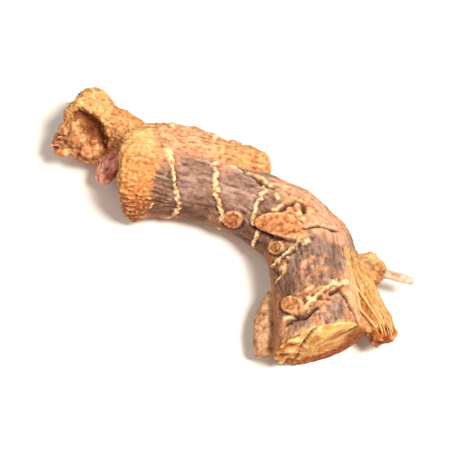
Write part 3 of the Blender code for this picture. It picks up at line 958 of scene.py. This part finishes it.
# The orange cork, with painted highlights on its tops and painted shade on its side away from the light
corks = layer(srgb("#b96c32"), srgb("#e6a962"), (speck, 0.36, 0.6))
corks = layer(corks, srgb("#c06c34"), (blotch, 0.4, 0.54, 0.5, 0.0))
# Painted highlights on the knob's top and the cork end's top; the swelling paler
corks = layer(corks, srgb("#efc583"), marks_of["light"], (speck, 0.36, 0.5, 0.55, 0.95))
# Painted shade on the cork's side away from the light
corks = layer(corks, srgb("#bd7a3c"), marks_of["low"], 0.6, blend="MULTIPLY")
colour = layer(colour, corks, marks_of["cork"])

for name, first_value, last_value, dark, light in PART_COLOURS:
    part_colour = layer(srgb(dark), srgb(light), (speck, first_value, last_value))
    colour = layer(colour, part_colour, marks_of[name])

# The yellow cut, and the brown of raw edges, which also paints shade in torn hollows, the husk's gap and the
# shoot's join
cuts = layer(srgb("#dd9d4c"), srgb("#ffdf92"), marks_of["fan"])
cuts = layer(cuts, srgb("#bb7436"), (speck, 0.38, 0.5, 0.45, 0.0))
colour = layer(colour, cuts, marks_of["cut"])
raw_and_shade_browns = layer(srgb("#7d3f18"), srgb("#c47432"), (speck, 0.38, 0.6))
colour = layer(colour, raw_and_shade_browns, marks_of["raw_brown_and_painted_shade"])

# Painted shade on the side away from the light, painted highlights on the heights, the cream rings, and
# painted shade in the grooves, cracks and hollows
# Painted shade on the side away from the light
colour = layer(colour, srgb("#b07a4c"), marks_of["low"], 0.6, blend="MULTIPLY")
# Painted highlights on the ridges
colour = layer(colour, srgb("#fad9a6"), marks_of["high"], 0.4)
rings = layer(srgb("#dca66a"), srgb("#fde0ac"), (speck, 0.4, 0.55))
colour = layer(colour, rings, (marks_of["ring"], 0.15, 0.6))
# Painted shade in the grooves
colour = layer(colour, srgb("#96603c"), marks_of["painted_groove_shade"], 0.8, blend="MULTIPLY")
colour = layer(colour, srgb("#a06c4a"), marks_of["grained"], (streak, 0.35, 0.5, 0.4, 0.0), blend="MULTIPLY")
# Painted shade in cracks, slits, crumbs, the split, the hole, a patch and beside rings and scars, with the
# scars' own dark marks
colour = layer(colour, srgb("#4f2810"), marks_of["deep"])
# Painted shade inside the stem's hollow
colour = layer(colour, srgb("#733817"), marks_of["hollow"], 0.9)
tree.links.new(colour, shader.inputs["Base Color"])
shader.inputs["Roughness"].default_value = 0.75
shader.inputs["Specular IOR Level"].default_value = 0.25
streak_bump = {"Height": streak, "Strength": 0.5, "Distance": BUMP}
streaked = add(tree, "ShaderNodeBump", streak_bump).outputs[0]
speck_bump = {"Height": speck, "Strength": 0.6, "Distance": BUMP, "Normal": streaked}
tree.links.new(add(tree, "ShaderNodeBump", speck_bump).outputs[0], shader.inputs["Normal"])

# Dry fibres: pale straw to brown, each one its own shade
straw, tree, shader = new_material("dry fibre")
tone = add(tree, "ShaderNodeAttribute", attribute_name="tone").outputs["Fac"]
place = add(tree, "ShaderNodeTexCoord").outputs["Object"]
specks = {"Vector": place, "Scale": 1 / (FIBRE_SPECK_SIZE * MM), "Detail": 2.0}
speck = add(tree, "ShaderNodeTexNoise", specks).outputs["Fac"]
colour = layer(srgb("#985e2a"), srgb("#dcb070"), tone)
colour = layer(colour, srgb("#a9713c"), (speck, 0.35, 0.6, 0.4, 0.0), blend="MULTIPLY")
tree.links.new(colour, shader.inputs["Base Color"])
shader.inputs["Roughness"].default_value = 0.6

# A root that is thin enough to have dried pale and smooth
root_skin, tree, shader = new_material("dry root")
place = add(tree, "ShaderNodeTexCoord").outputs["Object"]
specks = {"Vector": place, "Scale": 1 / (ROOT_SPECK_SIZE * MM), "Detail": 3.0}
speck = add(tree, "ShaderNodeTexNoise", specks).outputs["Fac"]
colour = layer(srgb("#a87a56"), srgb("#dfc4a6"), (speck, 0.35, 0.65))
tree.links.new(colour, shader.inputs["Base Color"])
shader.inputs["Roughness"].default_value = 0.7

# The table: plain, pale and matt
table_top, tree, shader = new_material("white board")
shader.inputs["Base Color"].default_value = srgb("#f4f1ec")
shader.inputs["Roughness"].default_value = 0.9
shader.inputs["Specular IOR Level"].default_value = 0.1

for obj, material in ((body, rhizome_skin), (strands, straw), (tail, root_skin)):
    obj.data.materials.clear()
    obj.data.materials.append(material)
    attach(obj, "root")
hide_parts("rhizome")

# Table, light and camera

TABLE_REACH = 1500
bm = bmesh.new()
bmesh.ops.create_grid(bm, x_segments=1, y_segments=1, size=TABLE_REACH)
floor = finish(bm, "table")
floor.data.materials.append(table_top)

scene = bpy.context.scene
scene.view_settings.view_transform = "Standard"
world = bpy.data.worlds.new("soft room")
scene.world = world
world.use_nodes = True
world.node_tree.nodes["Background"].inputs["Color"].default_value = srgb("#fff6ea")
world.node_tree.nodes["Background"].inputs["Strength"].default_value = 0.36


def placed(name, data, azimuth, elevation, distance, look_at=(0, 0, 0)):
    """A light or camera that looks at the point from this direction and distance, in metres."""
    obj = bpy.data.objects.new(name, data)
    scene.collection.objects.link(obj)
    a, e = math.radians(azimuth), math.radians(elevation)
    out = Vector((math.sin(a) * math.cos(e), -math.cos(a) * math.cos(e), math.sin(e)))
    obj.location = Vector(look_at) + out * distance
    obj.rotation_mode = "QUATERNION"
    obj.rotation_quaternion = (-out).to_track_quat("-Z", "Y")
    return obj


def area_light(name, azimuth, elevation, distance, size, power, colour):
    """A soft square light that looks at the object."""
    light = bpy.data.lights.new(name, "AREA")
    light.size = size
    light.energy = power
    light.color = srgb(colour)[:3]
    placed(name, light, azimuth, elevation, distance)


area_light("key", 95, 62, 0.8, 0.2, 9.0, "#fff8ee")
area_light("fill", -30, 50, 0.9, 0.7, 2.0, "#fffaf4")

AZIMUTH = 43
ELEVATION = 60
LOOK_AT = Vector((0.5, -1.0, 8.0)) * MM
DISTANCE = 0.5
# How much of the scene the picture's width shows at that distance
FRAME_WIDTH = 0.084
camera_data = bpy.data.cameras.new("camera")
camera_data.sensor_width = 36
camera_data.lens = camera_data.sensor_width * DISTANCE / FRAME_WIDTH
camera_data.clip_start = 0.01
scene.camera = placed("camera", camera_data, AZIMUTH, ELEVATION, DISTANCE, LOOK_AT)
